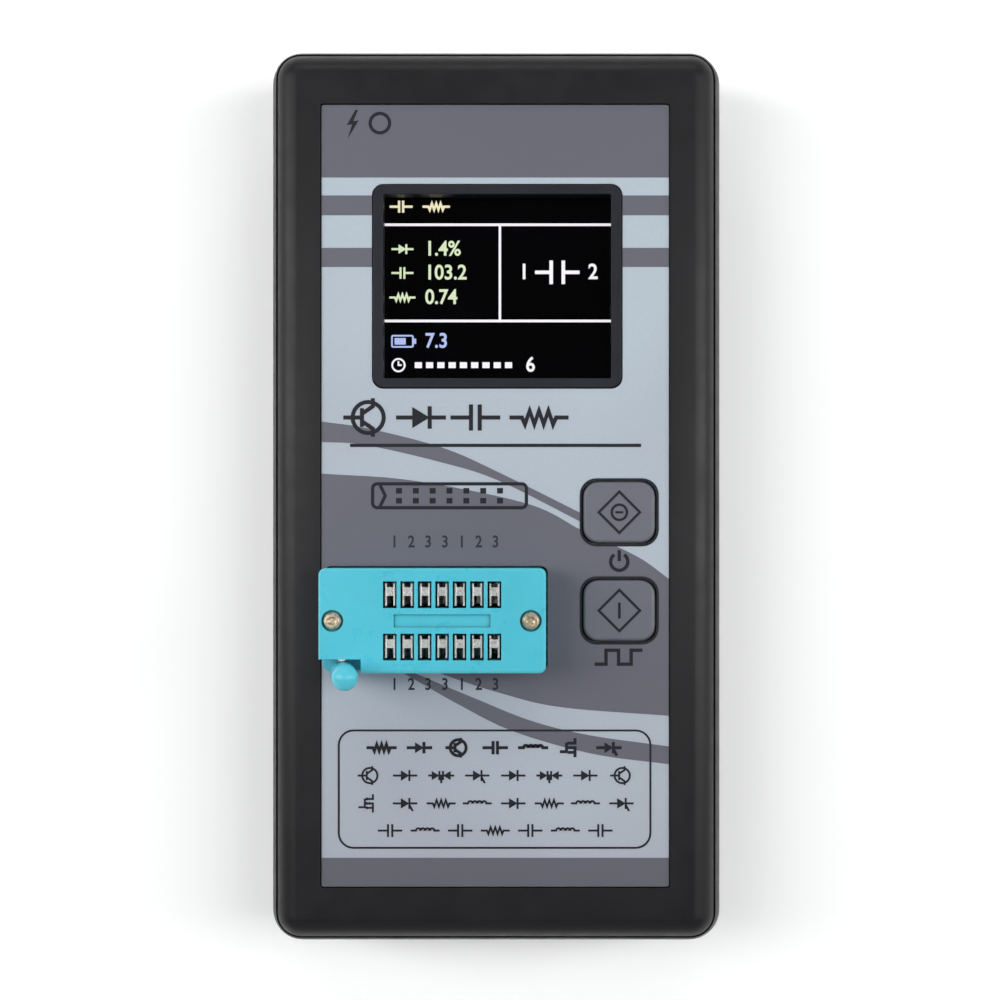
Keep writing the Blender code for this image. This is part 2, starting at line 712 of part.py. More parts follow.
def make_socket_base():
    base = socket_box("zif_base", 0.0, *SOCKET_BASE_Z, SOCKET_RADIUS)
    troughs = [box_at(PIN_CENTRE_X, y, TROUGH_SIZE, TROUGH_FLOOR_Z, 0.0400) for y in row_ys().values()]
    slot = (TROUGH_SIZE[0], CONTACT_TAIL_WIDTH + 2 * GAP)
    slots = [box_at(PIN_CENTRE_X, y, slot, 0.0100, 0.0250) for y in row_ys().values()]
    channel = (
        (CHANNEL_X[0], SOCKET_CENTRE[1] - CHANNEL_HALF_WIDTH, CHANNEL_FLOOR_Z),
        (CHANNEL_X[1], SOCKET_CENTRE[1] + CHANNEL_HALF_WIDTH, 0.0400),
    )
    cut(base, block("troughs", *troughs), block("tail_slots", *slots), block("slider_channel", channel))
    for name, x in RIVET_XS.items():
        ends = ((x, SOCKET_CENTRE[1], CHANNEL_FLOOR_Z), (x, SOCKET_CENTRE[1], 0.0400))
        cut(base, rod(f"base_rivet_hole_{name}", RIVET_SHANK_RADIUS + GAP, *ends, 16))
    as_part(base, SOCKET_CYAN)


def make_socket_cover():
    low_z, high_z = SOCKET_COVER_Z
    cover = stack(
        "zif_cover", SOCKET_CENTRE, SOCKET_SIZE, SOCKET_RADIUS,
        ((0.0, low_z), (0.0, high_z - 0.0003), (0.0003, high_z)),
    )
    windows = [
        box_at(x, y, WINDOW_SIZE, low_z - WALL, high_z + WALL)
        for y in row_ys().values()
        for x in pin_xs()
    ]
    recess = box_at(PIN_CENTRE_X, SOCKET_CENTRE[1], (0.0141, 0.0019), high_z - 0.00025, high_z + WALL)
    notch = (
        (SOCKET_CENTRE[0] - SOCKET_SIZE[0], SOCKET_CENTRE[1] - SOCKET_SIZE[1], low_z - WALL),
        (*LEVER_NOTCH_CORNER, high_z + WALL),
    )
    side = LEVER_SHAFT_RADIUS + GAP
    shaft_groove = (
        (LEVER_PIVOT[0] - side, LEVER_NOTCH_CORNER[1] - WALL, low_z - WALL),
        (LEVER_PIVOT[0] + side, LEVER_SHAFT_Y[1] + GAP, LEVER_PIVOT[2] + side),
    )
    cut(
        cover,
        block("windows", *windows),
        block("centre_recess", recess),
        block("lever_notch", notch),
        block("shaft_groove", shaft_groove),
    )
    for name, x in RIVET_XS.items():
        top = (x, SOCKET_CENTRE[1], high_z + WALL)
        floor = (x, SOCKET_CENTRE[1], RIVET_RECESS_Z)
        bottom = (x, SOCKET_CENTRE[1], low_z - WALL)
        cut(
            cover,
            rod(f"rivet_recess_{name}", RIVET_RECESS_RADIUS, floor, top),
            rod(f"cover_rivet_hole_{name}", RIVET_SHANK_RADIUS + GAP, bottom, top, 16),
        )
    as_part(cover, SOCKET_CYAN)


def make_contacts():
    """One sprung contact: two leaves joined by a bridge and a foot, with a tail into the board."""
    low_z, high_z = CONTACT_Z
    half_width = CONTACT_WIDTH / 2
    half_length = CONTACT_LENGTH / 2
    corners = ((-half_width, -half_length, low_z), (half_width, half_length, high_z))
    contact = block("contact", corners)
    inner = half_width - LEAF_THICKNESS
    foot_z = low_z + 0.0010
    over = high_z + WALL
    beyond = CONTACT_LENGTH
    bridge_low, bridge_high = BRIDGE_Y
    cut(
        contact,
        block("leaf_gap_front", ((-inner, -beyond, foot_z), (inner, bridge_low, over))),
        block("leaf_gap_back", ((-inner, bridge_high, foot_z), (inner, beyond, over))),
        block("bridge_gap", ((-inner, -beyond, foot_z), (inner, beyond, high_z - BRIDGE_DEPTH))),
        block("bridge_top", ((-inner, -beyond, high_z - BRIDGE_DROP), (inner, beyond, over))),
    )
    half_tail = CONTACT_TAIL_WIDTH / 2
    tail = ((-half_tail, -half_tail, CONTACT_TAIL_Z), (half_tail, half_tail, low_z + GAP))
    fuse(contact, block("contact_tail", tail))
    mesh = baked_mesh(contact)
    places = []
    for row, y in row_ys().items():
        for number, x in enumerate(pin_xs(), 1):
            places.append((f"zif_contact_{row}{number}", (x, y, 0)))
    copies(mesh, places, SILVER)


def make_rivets():
    head_z = RIVET_RECESS_Z + GAP
    tip_z = CHANNEL_FLOOR_Z + GAP
    rivet = turned(
        "rivet",
        (
            (0.0, head_z + 0.0003),
            (RIVET_HEAD_RADIUS * 0.35, head_z + 0.0003),
            (RIVET_HEAD_RADIUS * 0.45, head_z + 0.0006),
            (RIVET_HEAD_RADIUS * 0.75, head_z + 0.0006),
            (RIVET_HEAD_RADIUS, head_z + 0.0002),
            (RIVET_HEAD_RADIUS, head_z),
            (RIVET_SHANK_RADIUS, head_z),
            (RIVET_SHANK_RADIUS, tip_z),
            (0.0, tip_z),
        ),
        16,
    )
    mesh = baked_mesh(rivet)
    places = [(f"zif_rivet_{name}", (x, SOCKET_CENTRE[1], 0)) for name, x in RIVET_XS.items()]
    copies(mesh, places, BRASS)


def make_slider():
    low = (SLIDER_X[0], SOCKET_CENTRE[1] - SLIDER_HALF_WIDTH, SLIDER_Z[0])
    high = (SLIDER_X[1], SOCKET_CENTRE[1] + SLIDER_HALF_WIDTH, SLIDER_Z[1])
    as_part(block("zif_slider", (low, high)), SOCKET_CYAN)


def make_lever():
    """The shaft and its handle hang from an empty on the hinge axis, which gives the handle its lean."""
    pivot = bpy.data.objects.new("zif_lever_axis", None)
    pivot.location = LEVER_PIVOT
    pivot.rotation_euler = (0.0, LEVER_LEAN, 0.0)
    PARTS.objects.link(pivot)

    radius = LEVER_KNOB_RADIUS
    arc_steps = 6
    angles = [math.pi / 2 * i / arc_steps for i in range(arc_steps + 1)]
    top = [(radius * math.sin(a), LEVER_LENGTH + radius * math.cos(a)) for a in angles]
    waist = [(radius * 0.92, LEVER_LENGTH * 0.72), (radius * 0.92, LEVER_LENGTH * 0.30)]
    bottom = [(r, -(z - LEVER_LENGTH)) for r, z in reversed(top)]
    handle = turned("zif_lever_handle", top + waist + bottom)
    handle.parent = pivot
    depth = LEVER_SHAFT_Y[0] - LEVER_PIVOT[1] - GAP
    bore = rod("handle_bore", LEVER_SHAFT_RADIUS + GAP, (0, depth, 0), (0, 2 * radius, 0), 12)
    bore.parent = pivot
    cut(handle, bore)
    as_part(handle, SOCKET_CYAN)

    start = (0, LEVER_SHAFT_Y[0] - LEVER_PIVOT[1], 0)
    end = (0, LEVER_SHAFT_Y[1] - LEVER_PIVOT[1], 0)
    shaft = rod("zif_lever_shaft", LEVER_SHAFT_RADIUS, start, end, 12)
    shaft.parent = pivot
    as_part(shaft, STEEL)


clear_scene()
PARTS = new_collection("component_tester")
CUTTERS = new_collection("cutters")
make_front_shell()
make_rear_shell()
make_battery_door()
make_film()
make_display()
make_keys()
make_board()
make_jack()
make_battery()
make_leads()
make_screws()
make_socket_base()
make_socket_cover()
make_contacts()
make_rivets()
make_slider()
make_lever()
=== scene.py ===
"""Looks for the component tester: materials, printed panel, display picture, lights and camera.

Everything is in metres in the CAD's frame: +X right, +Y towards the top end, +Z out of the panel.
Names ending in _MM are in millimetres, and mm() turns them into metres.
"""

import math

import bmesh
import bpy
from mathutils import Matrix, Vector


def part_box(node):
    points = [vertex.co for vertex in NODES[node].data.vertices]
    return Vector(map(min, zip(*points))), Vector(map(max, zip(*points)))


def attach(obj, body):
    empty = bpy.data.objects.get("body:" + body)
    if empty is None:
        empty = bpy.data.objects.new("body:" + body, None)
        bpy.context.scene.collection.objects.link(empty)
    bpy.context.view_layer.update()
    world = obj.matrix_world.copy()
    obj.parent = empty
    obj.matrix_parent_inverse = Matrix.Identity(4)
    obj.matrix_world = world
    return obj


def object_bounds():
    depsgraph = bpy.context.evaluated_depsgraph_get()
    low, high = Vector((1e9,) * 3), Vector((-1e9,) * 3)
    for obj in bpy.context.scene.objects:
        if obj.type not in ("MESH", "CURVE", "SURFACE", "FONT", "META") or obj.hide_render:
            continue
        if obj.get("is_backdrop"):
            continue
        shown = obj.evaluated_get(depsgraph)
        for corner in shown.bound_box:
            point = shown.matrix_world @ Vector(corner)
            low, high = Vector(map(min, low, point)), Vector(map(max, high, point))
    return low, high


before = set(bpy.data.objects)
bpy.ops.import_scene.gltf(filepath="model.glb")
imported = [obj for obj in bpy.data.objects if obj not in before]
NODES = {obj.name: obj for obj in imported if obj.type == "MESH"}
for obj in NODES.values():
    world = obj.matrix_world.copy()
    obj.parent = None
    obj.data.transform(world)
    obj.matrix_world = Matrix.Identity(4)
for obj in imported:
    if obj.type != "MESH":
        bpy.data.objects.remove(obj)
CAD_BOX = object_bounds()

# Camera: straight down on the panel, a little right of and below its middle, as a shifted view
CAMERA_DISTANCE = 0.269
CAMERA_X = 0.008
CAMERA_Y = -0.008
LENS_MM = 64.2
SHIFT_X = -0.0483
SHIFT_Y = 0.0488

# Printed layers stand on numbered levels above the film, this far apart
INK_LIFT_MM = 0.02
INK_THICKNESS_MM = 0.015
LINE_LEVEL = 2
GREY_LEVEL = 3
# Strokes of one layer that cross each other lie a little above one another
STROKE_STEP_MM = 0.001
STROKE_LEVELS = 16

CURVE_STEPS = 6
ARC_STEP_DEGREES = 15
MITRE_LIMIT = 0.35
NO_LENGTH = 1e-6

# A wave texture of scale 1 repeats every 2 pi / 20 units
WAVE_PERIOD = math.tau / 20
PIXEL_ROW_MM = 0.22


def mm(value):
    return value / 1000


# ---------------------------------------------------------------- materials


class Shader:
    """A material and short ways to add and join its nodes."""

    def __init__(self, name, colour, roughness, metallic=0.0, **sockets):
        self.material = bpy.data.materials.new(name)
        self.material.use_nodes = True
        self.tree = self.material.node_tree
        self.principled = self.tree.nodes["Principled BSDF"]
        self.principled.inputs["Base Color"].default_value = (*colour, 1.0)
        self.principled.inputs["Roughness"].default_value = roughness
        self.principled.inputs["Metallic"].default_value = metallic
        for socket, value in sockets.items():
            self.principled.inputs[socket.replace("_", " ")].default_value = value
        self.place = self.tree.nodes.new("ShaderNodeTexCoord").outputs["Object"]

    def node(self, kind, inputs=None, **settings):
        made = self.tree.nodes.new(kind)
        for name, value in settings.items():
            setattr(made, name, value)
        for name, value in (inputs or {}).items():
            if hasattr(value, "is_output"):
                self.tree.links.new(value, made.inputs[name])
            else:
                made.inputs[name].default_value = value
        return made

    def drive(self, socket, output):
        self.tree.links.new(output, self.principled.inputs[socket])

    def noise(self, scale, detail=4.0, roughness=0.55, stretch=(1, 1, 1)):
        mapping = self.node("ShaderNodeMapping", {"Vector": self.place, "Scale": stretch})
        settings = {"Scale": scale, "Detail": detail, "Roughness": roughness}
        inputs = {"Vector": mapping.outputs["Vector"], **settings}
        return self.node("ShaderNodeTexNoise", inputs).outputs["Fac"]

    def remap(self, value, low, high, from_low=0.3, from_high=0.7):
        return self.node(
            "ShaderNodeMapRange",
            {"Value": value, "From Min": from_low, "From Max": from_high, "To Min": low, "To Max": high},
        ).outputs["Result"]

    def blend(self, factor, first, second):
        mix = self.node("ShaderNodeMix", data_type="RGBA")
        for socket, value in ((0, factor), (6, first), (7, second)):
            if hasattr(value, "is_output"):
                self.tree.links.new(value, mix.inputs[socket])
            else:
                mix.inputs[socket].default_value = (*value, 1.0) if isinstance(value, tuple) else value
        return mix.outputs[2]

    def bump(self, height, distance, strength=1.0, normal=None):
        inputs = {"Height": height, "Distance": distance, "Strength": strength}
        if normal is not None:
            inputs["Normal"] = normal
        return self.node("ShaderNodeBump", inputs).outputs["Normal"]


# How much darker the painted shade makes the bottom of a crevice
CREVICE_SHADE = 0.35


def shade(colour, factor):
    return tuple(channel * factor for channel in colour)


def moulded(name, colour, roughness, grain_mm, grain_depth, mottle=0.12, crevice_shade_mm=0, **sockets):
    """Moulded plastic: a spark-eroded grain, faint flow mottling, uneven gloss, painted shade in
    crevices.
    """
    shader = Shader(name, colour, roughness, **sockets)
    flow = shader.remap(shader.noise(1 / mm(14), detail=3.0), 0.0, 1.0)
    tone = shader.blend(flow, shade(colour, 1 - mottle), shade(colour, 1 + mottle))
    if crevice_shade_mm:
        # Painted shade: ambient occlusion darkens the colour in recesses, corners and round openings
        openness = shader.node("ShaderNodeAmbientOcclusion", {"Distance": mm(crevice_shade_mm)}, samples=8)
        unshaded = shader.remap(openness.outputs["AO"], 0.0, 1.0, 0.45, 0.95)
        tone = shader.blend(unshaded, shade(colour, CREVICE_SHADE), tone)
    shader.drive("Base Color", tone)
    patches = shader.noise(1 / mm(3), detail=5.0)
    shader.drive("Roughness", shader.remap(patches, roughness - 0.05, roughness + 0.06))
    grain = shader.noise(1 / mm(grain_mm), detail=2.0)
    waves = shader.noise(1 / mm(6), detail=1.0)
    soft = shader.bump(waves, mm(0.05), 0.35)
    shader.drive("Normal", shader.bump(grain, mm(grain_depth), 0.6, soft))
    return shader.material


def printed(name, light, dark, roughness=0.42, coat=0.15, specular=0.5):
    """Screen-printed ink on polyester film: painted shade darkening it down the panel, faint mottle,
    satin coat.
    """
    gloss = {"Coat_Weight": coat, "Coat_Roughness": 0.35, "Specular_IOR_Level": specular}
    shader = Shader(name, light, roughness, **gloss)
    broad = shader.noise(1 / mm(38), detail=1.0)
    fine = shader.noise(1 / mm(0.45), detail=3.0)
    # Painted shade: the colour goes from light at the top of the panel to dark at the bottom, with a
    # slow random sway
    height = shader.node("ShaderNodeSeparateXYZ", {"Vector": shader.place}).outputs["Y"]
    sway = shader.remap(broad, -mm(25), mm(25))
    fade = shader.node("ShaderNodeMath", {0: height, 1: sway}, operation="ADD").outputs[0]
    tone = shader.blend(shader.remap(fade, 0.0, 1.0, -mm(60), mm(35)), dark, light)
    speck = shader.blend(shader.remap(fine, 0.0, 0.10), tone, shade(dark, 0.72))
    shader.drive("Base Color", speck)
    shader.drive("Roughness", shader.remap(fine, roughness - 0.04, roughness + 0.05))
    peel = shader.noise(1 / mm(1.3), detail=2.0)
    shader.drive("Normal", shader.bump(peel, mm(0.012), 0.35))
    return shader.material


def metal(name, colour, roughness, stretch=(1, 1, 1), tarnish=0.25, brushed_mm=0.12, metallic=1.0):
    """Plated or brushed metal with fine drawing lines, spots of tarnish and uneven polish."""
    shader = Shader(name, colour, roughness, metallic=metallic)
    spots = shader.noise(1 / mm(0.8), detail=4.0)
    dull = shade(colour, 1 - tarnish)
    shader.drive("Base Color", shader.blend(shader.remap(spots, 0.0, 1.0, 0.45, 0.75), colour, dull))
    lines = shader.noise(1 / mm(brushed_mm), detail=2.0, stretch=stretch)
    shader.drive("Roughness", shader.remap(lines, roughness * 0.75, roughness * 1.35))
    shader.drive("Normal", shader.bump(lines, mm(0.004), 0.4))
    return shader.material


def clear_sheet(name, colour, roughness, alpha):
    """Thin clear window: a faint tint with wiping haze, see-through without bending light."""
    shader = Shader(name, colour, roughness, Alpha=alpha, Specular_IOR_Level=0.3)
    haze = shader.noise(1 / mm(9), detail=4.0)
    smears = shader.blend(shader.remap(haze, 0.0, 1.0), shade(colour, 0.6), shade(colour, 1.5))
    shader.drive("Base Color", smears)
    shader.drive("Roughness", shader.remap(haze, roughness * 0.5, roughness * 2))
    return shader.material


def glowing(name, colour, strength):
    """Lit display pixels: colour broken by the panel's pixel rows."""
    shader = Shader(name, shade(colour, 0.2), 0.4, Emission_Strength=strength)
    rows = shader.node(
        "ShaderNodeTexWave",
        {"Vector": shader.place, "Scale": WAVE_PERIOD / mm(PIXEL_ROW_MM), "Distortion": 0.0},
        wave_type="BANDS",
        bands_direction="Y",
    ).outputs["Fac"]
    shader.drive("Emission Color", shader.blend(rows, shade(colour, 0.8), colour))
    return shader.material


def circuit_mask(name):
    """Solder mask over copper tracks: tracks show as lighter raised lines on a grid."""
    shader = Shader(name, (0.01, 0.12, 0.05), 0.3, Coat_Weight=0.3)
    tracks = shader.node(
        "ShaderNodeTexBrick",
        {
            "Vector": shader.place,
            "Scale": 1 / mm(9),
            "Mortar Size": 0.035,
            "Mortar Smooth": 0.1,
            "Brick Width": 0.6,
            "Row Height": 0.2,
        },
        offset=0.37,
        squash=0.8,
    ).outputs["Fac"]
    shader.drive("Base Color", shader.blend(tracks, (0.008, 0.10, 0.04), (0.02, 0.26, 0.10)))
    shader.drive("Roughness", shader.remap(shader.noise(1 / mm(4)), 0.25, 0.38))
    shader.drive("Normal", shader.bump(tracks, mm(0.03), 0.5))
    return shader.material


CHARCOAL = (0.0098, 0.0094, 0.0108)
CASE_GLOSS = 0.27
# The film and the grey ink go from the first colour at the top of the panel to the second, a painted
# shade, at the bottom
FILM_LIGHT = (0.43, 0.50, 0.56)
FILM_SHADE = (0.352, 0.378, 0.435)
INK_GREY = (0.112, 0.112, 0.142)
INK_GREY_DARK = (0.102, 0.102, 0.128)
CYAN = (0.072, 0.50, 0.62)

case_plastic = moulded("case_plastic", CHARCOAL, 0.40, 0.22, 0.010, Specular_IOR_Level=CASE_GLOSS)
door_black = shade(CHARCOAL, 1.06)
door_plastic = moulded("door_plastic", door_black, 0.43, 0.22, 0.010, Specular_IOR_Level=CASE_GLOSS)
film_ink = printed("film_ink", FILM_LIGHT, FILM_SHADE)
grey_ink = printed("grey_ink", INK_GREY, INK_GREY_DARK)
line_ink = printed("line_ink", (0.012, 0.013, 0.020), (0.008, 0.008, 0.012), 0.5, 0.0, 0.25)
number_ink = printed("number_ink", (0.022, 0.024, 0.032), (0.012, 0.012, 0.018), 0.5, 0.0, 0.3)
key_plastic = printed("key_plastic", (0.130, 0.132, 0.162), (0.108, 0.112, 0.14), 0.46)
BEZEL_BLACK = (0.010, 0.011, 0.017)
bezel_plastic = moulded("bezel_plastic", BEZEL_BLACK, 0.42, 0.15, 0.004, Specular_IOR_Level=0.3)
stem_plastic = moulded("stem_plastic", (0.02, 0.02, 0.022), 0.45, 0.2, 0.006)
# The socket's plastic gets painted shade, reaching 0.7 mm, in its recess and round its windows
socket_plastic = moulded(
    "socket_plastic", CYAN, 0.30, 0.35, 0.006, 0.05, 0.7, Subsurface_Weight=0.25, Subsurface_Scale=0.002
)
black_resin = moulded("black_resin", (0.018, 0.018, 0.019), 0.55, 0.12, 0.01)
black_vinyl = moulded("black_vinyl", (0.015, 0.015, 0.016), 0.40, 0.3, 0.01)
red_vinyl = moulded("red_vinyl", (0.50, 0.02, 0.018), 0.35, 0.3, 0.006, mottle=0.06)
battery_wrap = moulded("battery_wrap", (0.03, 0.06, 0.17), 0.30, 0.6, 0.008, mottle=0.08)
PANEL_BLACK = (0.0004, 0.0004, 0.0005)
display_black = moulded("display_black", PANEL_BLACK, 0.12, 0.5, 0.0002, Specular_IOR_Level=0.08)
ribbon_film = moulded("ribbon_film", (0.45, 0.20, 0.04), 0.3, 0.5, 0.006)
window_clear = clear_sheet("window_clear", (0.004, 0.004, 0.006), 0.04, 0.07)
screw_steel = metal("screw_steel", (0.50, 0.50, 0.51), 0.32)
tray_steel = metal("tray_steel", (0.60, 0.61, 0.62), 0.30, stretch=(1, 0.05, 1))
can_aluminium = metal("can_aluminium", (0.75, 0.75, 0.76), 0.28, stretch=(1, 1, 0.05), tarnish=0.1)
contact_metal = metal("contact_metal", (0.80, 0.79, 0.77), 0.32, (1, 1, 0.1), 0.35, metallic=0.75)
rivet_brass = metal("rivet_brass", (0.72, 0.60, 0.44), 0.32, tarnish=0.6)
circuit_board = circuit_mask("circuit_board")

NODE_LOOKS = {
    "front_shell": case_plastic,
    "rear_shell": case_plastic,
    "battery_door": door_plastic,
    "overlay_panel": film_ink,
    "display_bezel": bezel_plastic,
    "display_lens": window_clear,
    "lcd_glass": display_black,
    "lcd_frame": tray_steel,
    "lcd_ribbon": ribbon_film,
    "main_board": circuit_board,
    "microcontroller": black_resin,
    "voltage_regulator": black_resin,
    "crystal": tray_steel,
    "switch_off_body": black_resin,
    "switch_test_body": black_resin,
    "dc_jack": black_resin,
    "key_off": key_plastic,
    "key_test": key_plastic,
    "battery_9v": battery_wrap,
    "battery_snap": black_vinyl,
    "battery_lead_black": black_vinyl,
    "battery_lead_red": red_vinyl,
    "zif_base": socket_plastic,
    "zif_cover": socket_plastic,
    "zif_slider": socket_plastic,
    "zif_lever_handle": socket_plastic,
    "zif_lever_shaft": screw_steel,
}
PREFIX_LOOKS = (
    ("smoothing_capacitor", can_aluminium),
    ("zif_contact", contact_metal),
    ("zif_rivet", rivet_brass),
    ("case_screw", screw_steel),
    ("board_screw", screw_steel),
    ("switch_", stem_plastic),
)
EDGE_MM = {
    "front_shell": 0.12,
    "rear_shell": 0.12,
    "battery_door": 0.15,
    "zif_base": 0.25,
    "zif_cover": 0.08,
    "key_off": 0.2,
    "key_test": 0.2,
    "display_bezel": 0.15,
    "overlay_panel": 0.03,
    "display_lens": 0.08,
    "dc_jack": 0.2,
    "microcontroller": 0.2,
}
DEFAULT_EDGE_MM = 0.04
WELD_MM = 0.001
SHARP_DEGREES = 30
FLAT_DEGREES = 0.3


def look_for(name):
    if name in NODE_LOOKS:
        return NODE_LOOKS[name]
    return next(material for prefix, material in PREFIX_LOOKS if name.startswith(prefix))


def round_edges(item, width_mm, segments=2):
    """Welds the mesh and rounds its sharp edges, so that they catch the light as moulded ones do."""
    weld = item.modifiers.new("weld", "WELD")
    weld.merge_threshold = mm(WELD_MM)
    flats = item.modifiers.new("flats", "DECIMATE")
    flats.decimate_type = "DISSOLVE"
    flats.angle_limit = math.radians(FLAT_DEGREES)
    bevel = item.modifiers.new("edges", "BEVEL")
    bevel.width = mm(width_mm)
    bevel.segments = segments
    bevel.limit_method = "ANGLE"
    bevel.angle_limit = math.radians(SHARP_DEGREES)
    bevel.harden_normals = True


def dress_cad_nodes():
    for name, item in NODES.items():
        custom = item.data.attributes.get("custom_normal")
        if custom:
            item.data.attributes.remove(custom)
        item.data.shade_smooth()
        item.data.materials.clear()
        item.data.materials.append(look_for(name))
        round_edges(item, EDGE_MM.get(name, DEFAULT_EDGE_MM))


# ---------------------------------------------------------------- flat artwork


def smooth_line(points):
    """A Catmull-Rom line through the points."""
    points = [Vector(point) for point in points]
    padded = [2 * points[0] - points[1], *points, 2 * points[-1] - points[-2]]
    line = []
    for index in range(1, len(padded) - 2):
        p0, p1, p2, p3 = padded[index - 1 : index + 3]
        for step in range(CURVE_STEPS):
            t = step / CURVE_STEPS
            line.append(
                0.5
                * (
                    2 * p1
                    + (p2 - p0) * t
                    + (2 * p0 - 5 * p1 + 4 * p2 - p3) * t**2
                    + (3 * p1 - p0 - 3 * p2 + p3) * t**3
                )
            )
    return [*line, points[-1]]


def arc(centre, radius, start=0, end=360):
    steps = max(3, math.ceil(abs(end - start) / ARC_STEP_DEGREES))
    angles = [math.radians(start + (end - start) * i / steps) for i in range(steps + 1)]
    return [(centre[0] + radius * math.cos(a), centre[1] + radius * math.sin(a)) for a in angles]


def rounded_outline(centre, size, radius):
    half_x = size[0] / 2 - radius
    half_y = size[1] / 2 - radius
    outline = []
    for quarter, (sx, sy) in enumerate(((1, 1), (-1, 1), (-1, -1), (1, -1))):
        corner = (centre[0] + sx * half_x, centre[1] + sy * half_y)
        outline += arc(corner, radius, 90 * quarter, 90 * quarter + 90)
    return outline


class Artwork:
    """One printed layer: strokes and filled areas in millimetres, made into thin solids."""

    def __init__(self, name, material, level, top_z, slot):
        self.name = name
        self.material = material
        self.base_z = top_z + mm(INK_LIFT_MM * level)
        self.slot = slot
        self.bm = bmesh.new()
        self.strokes = 0

    def outline(self, points):
        """New vertices for one line of the current stroke."""
        z = self.base_z + mm(STROKE_STEP_MM) * (self.strokes % STROKE_LEVELS)
        return [self.bm.verts.new((mm(x), mm(y), z)) for x, y in points]

    def strip(self, left, right, closed=False):
        """Quads between two lines with the same number of points."""
        self.strokes += 1
        a = self.outline(left)
        b = self.outline(right)
        count = len(a) if closed else len(a) - 1
        for i in range(count):
            j = (i + 1) % len(a)
            self.bm.faces.new((a[i], b[i], b[j], a[j]))

    def stroke(self, points, width, closed=False):
        """A mitred ribbon along a line."""
        points = [Vector(point) for point in points]
        if closed and (points[0] - points[-1]).length < NO_LENGTH:
            points.pop()
        left, right = [], []
        for index, point in enumerate(points):
            before = points[index - 1] if index or closed else None
            after = points[(index + 1) % len(points)] if index < len(points) - 1 or closed else None
            ahead = (after - point).normalized() if after is not None else (point - before).normalized()
            behind = (point - before).normalized() if before is not None else ahead
            mitre = Vector((-(ahead + behind).y, (ahead + behind).x))
            if mitre.length < NO_LENGTH:
                mitre = Vector((-ahead.y, ahead.x))
            mitre.normalize()
            reach = width / 2 / max(MITRE_LIMIT, mitre.dot(Vector((-ahead.y, ahead.x))))
            left.append(point + mitre * reach)
            right.append(point - mitre * reach)
        self.strip(left, right, closed)

    def fill(self, points):
        self.strokes += 1
        self.bm.faces.new(self.outline(points))

    def box(self, x_low, x_high, y_low, y_high):
        self.fill(((x_low, y_low), (x_high, y_low), (x_high, y_high), (x_low, y_high)))

    def finish(self, body="case"):
        mesh = bpy.data.meshes.new(self.name)
        for face in self.bm.faces:
            face.normal_update()
            if face.normal.z < 0:
                face.normal_flip()
        self.bm.to_mesh(mesh)
        self.bm.free()
        item = bpy.data.objects.new(self.name, mesh)
        bpy.context.scene.collection.objects.link(item)
        solid = item.modifiers.new("ink", "SOLIDIFY")
        solid.thickness = mm(INK_THICKNESS_MM)
        solid.offset = -1
        mesh.materials.append(self.material)
        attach(item, body)
        return item


# A digit's height as a share of its font size, and how much bolder than the font it is printed
DIGIT_SHARE = 0.70
BOLDNESS = 0.028


def numeral(name, text, place, height, material, top_z, narrowing, align="CENTER"):
    """A printed number at a place given in millimetres."""
    curve = bpy.data.curves.new(name, "FONT")
    curve.body = text
    curve.size = mm(height / DIGIT_SHARE)
    curve.align_x = align
    curve.align_y = "CENTER"
    curve.extrude = mm(INK_THICKNESS_MM / 2)
    curve.offset = mm(height * BOLDNESS)
    curve.resolution_u = 4
    curve.materials.append(material)
    item = bpy.data.objects.new(name, curve)
    item.scale = (narrowing, 1.0, 1.0)
    item.location = (mm(place[0]), mm(place[1]), top_z + mm(INK_LIFT_MM * LINE_LEVEL))
    bpy.context.scene.collection.objects.link(item)
    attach(item, "case")


# ---------------------------------------------------------------- schematic symbols
# Each returns (strokes, filled outlines) in a cell about 1 high, centred on (0, 0).


def resistor():
    teeth = [(-0.45 + 0.15 * i, 0.22 * (1 if i % 2 else -1)) for i in range(7)]
    return [[(-0.95, 0), (-0.55, 0), *teeth, (0.55, 0), (0.95, 0)]], []


def capacitor():
    leads = [[(-0.8, 0), (-0.14, 0)], [(0.14, 0), (0.8, 0)]]
    plates = [[(-0.14, -0.42), (-0.14, 0.42)], [(0.14, -0.42), (0.14, 0.42)]]
    return leads + plates, []


def diode():
    return [[(-0.8, 0), (-0.28, 0)], [(0.28, 0), (0.8, 0)], [(0.28, -0.36), (0.28, 0.36)]], [
        [(-0.28, 0.34), (-0.28, -0.34), (0.28, 0)]
    ]


def double_diode():
    left = [[(-0.85, 0), (-0.62, 0)], [(-0.12, -0.3), (-0.12, 0.3)], [(-0.12, 0), (0.12, 0)]]
    right = [[(0.12, -0.3), (0.12, 0.3)], [(0.62, 0), (0.85, 0)], [(0, 0), (0, -0.5)]]
    arrows = [[(-0.62, 0.3), (-0.62, -0.3), (-0.12, 0)], [(0.62, 0.3), (0.12, 0), (0.62, -0.3)]]
    return left + right, arrows


def transistor():
    ring = arc((0.05, 0), 0.5)
    lines = [[(-0.75, 0), (-0.15, 0)], [(-0.15, -0.3), (-0.15, 0.3)]]
    legs = [[(-0.15, 0.12), (0.2, 0.36), (0.2, 0.62)], [(-0.15, -0.12), (0.2, -0.36), (0.2, -0.62)]]
    return [ring, *lines, *legs], [[(0.2, -0.36), (0.0, -0.32), (0.1, -0.18)]]


